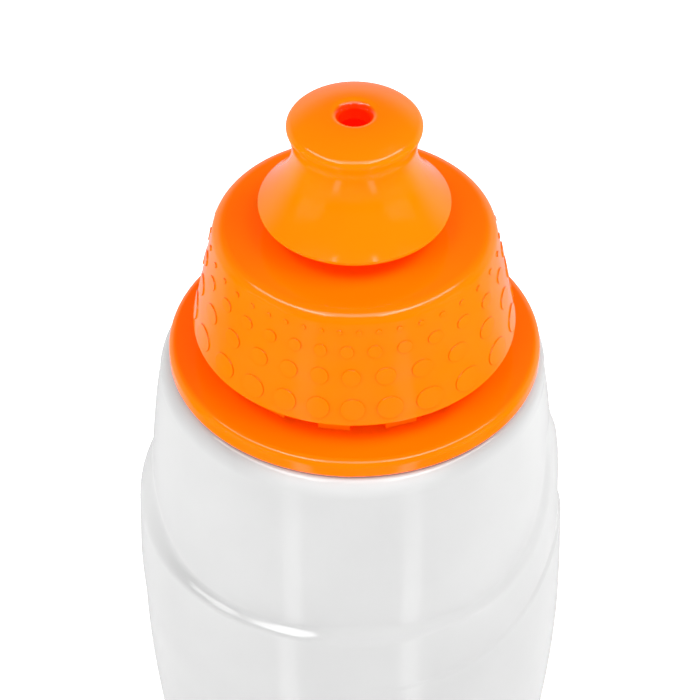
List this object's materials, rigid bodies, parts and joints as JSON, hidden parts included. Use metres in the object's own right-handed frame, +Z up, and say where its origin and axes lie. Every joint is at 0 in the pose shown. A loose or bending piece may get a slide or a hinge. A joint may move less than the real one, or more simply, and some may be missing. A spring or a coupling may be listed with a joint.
{
  "type": "sports water bottle",
  "caption": "Squeezable sports bottle with a waisted, ledged body and a screw cap with a dotted dome and a push-pull drinking nozzle.",
  "frame": {"origin": "centre of the base, on the surface that the bottle stands on", "axes": "+Z up along the bottle, towards the nozzle; -Y is the front, where the dots on the dome stand closest"},
  "size_m": [0.0753, 0.0748, 0.2167],
  "materials": {
    "bottle": "glossy, milky white",
    "silicone": "matte, pale",
    "cap": "glossy orange",
    "valve": "satin orange",
    "nozzle": "glossy orange"
  },
  "bodies": {
    "bottle": {"bottle_body": "bottle"},
    "gasket": {"cap_gasket": "silicone"},
    "washer": {"post_washer": "silicone"},
    "cap": {"cap_base": "cap", "cap_dome": "cap", "valve_post": "valve", "nozzle_seal_lower": "silicone", "nozzle_seal_upper": "silicone"},
    "nozzle": {"nozzle": "nozzle"}
  },
  "joints": [
    {"name": "cap_lift_off", "type": "slide", "parent": "bottle", "child": "gasket", "axis": [0, 0, 1], "range_m": [0, 0.06]},
    {"name": "cap_rise", "type": "slide", "parent": "gasket", "child": "washer", "axis": [0, 0, 1], "range_m": [0, 0.006]},
    {"name": "cap_turn", "type": "hinge", "parent": "washer", "child": "cap", "pos_m": [0, 0, 0.165], "axis": [0, 0, 1], "range_deg": [0, 540]},
    {"name": "nozzle_slide", "type": "slide", "parent": "cap", "child": "nozzle", "axis": [0, 0, 1], "range_m": [-0.0036, 0]}
  ],
  "couplings": [
    {"joint": "cap_rise", "follows": "cap_turn", "m_per_rad": 0.0006366}
  ]
}
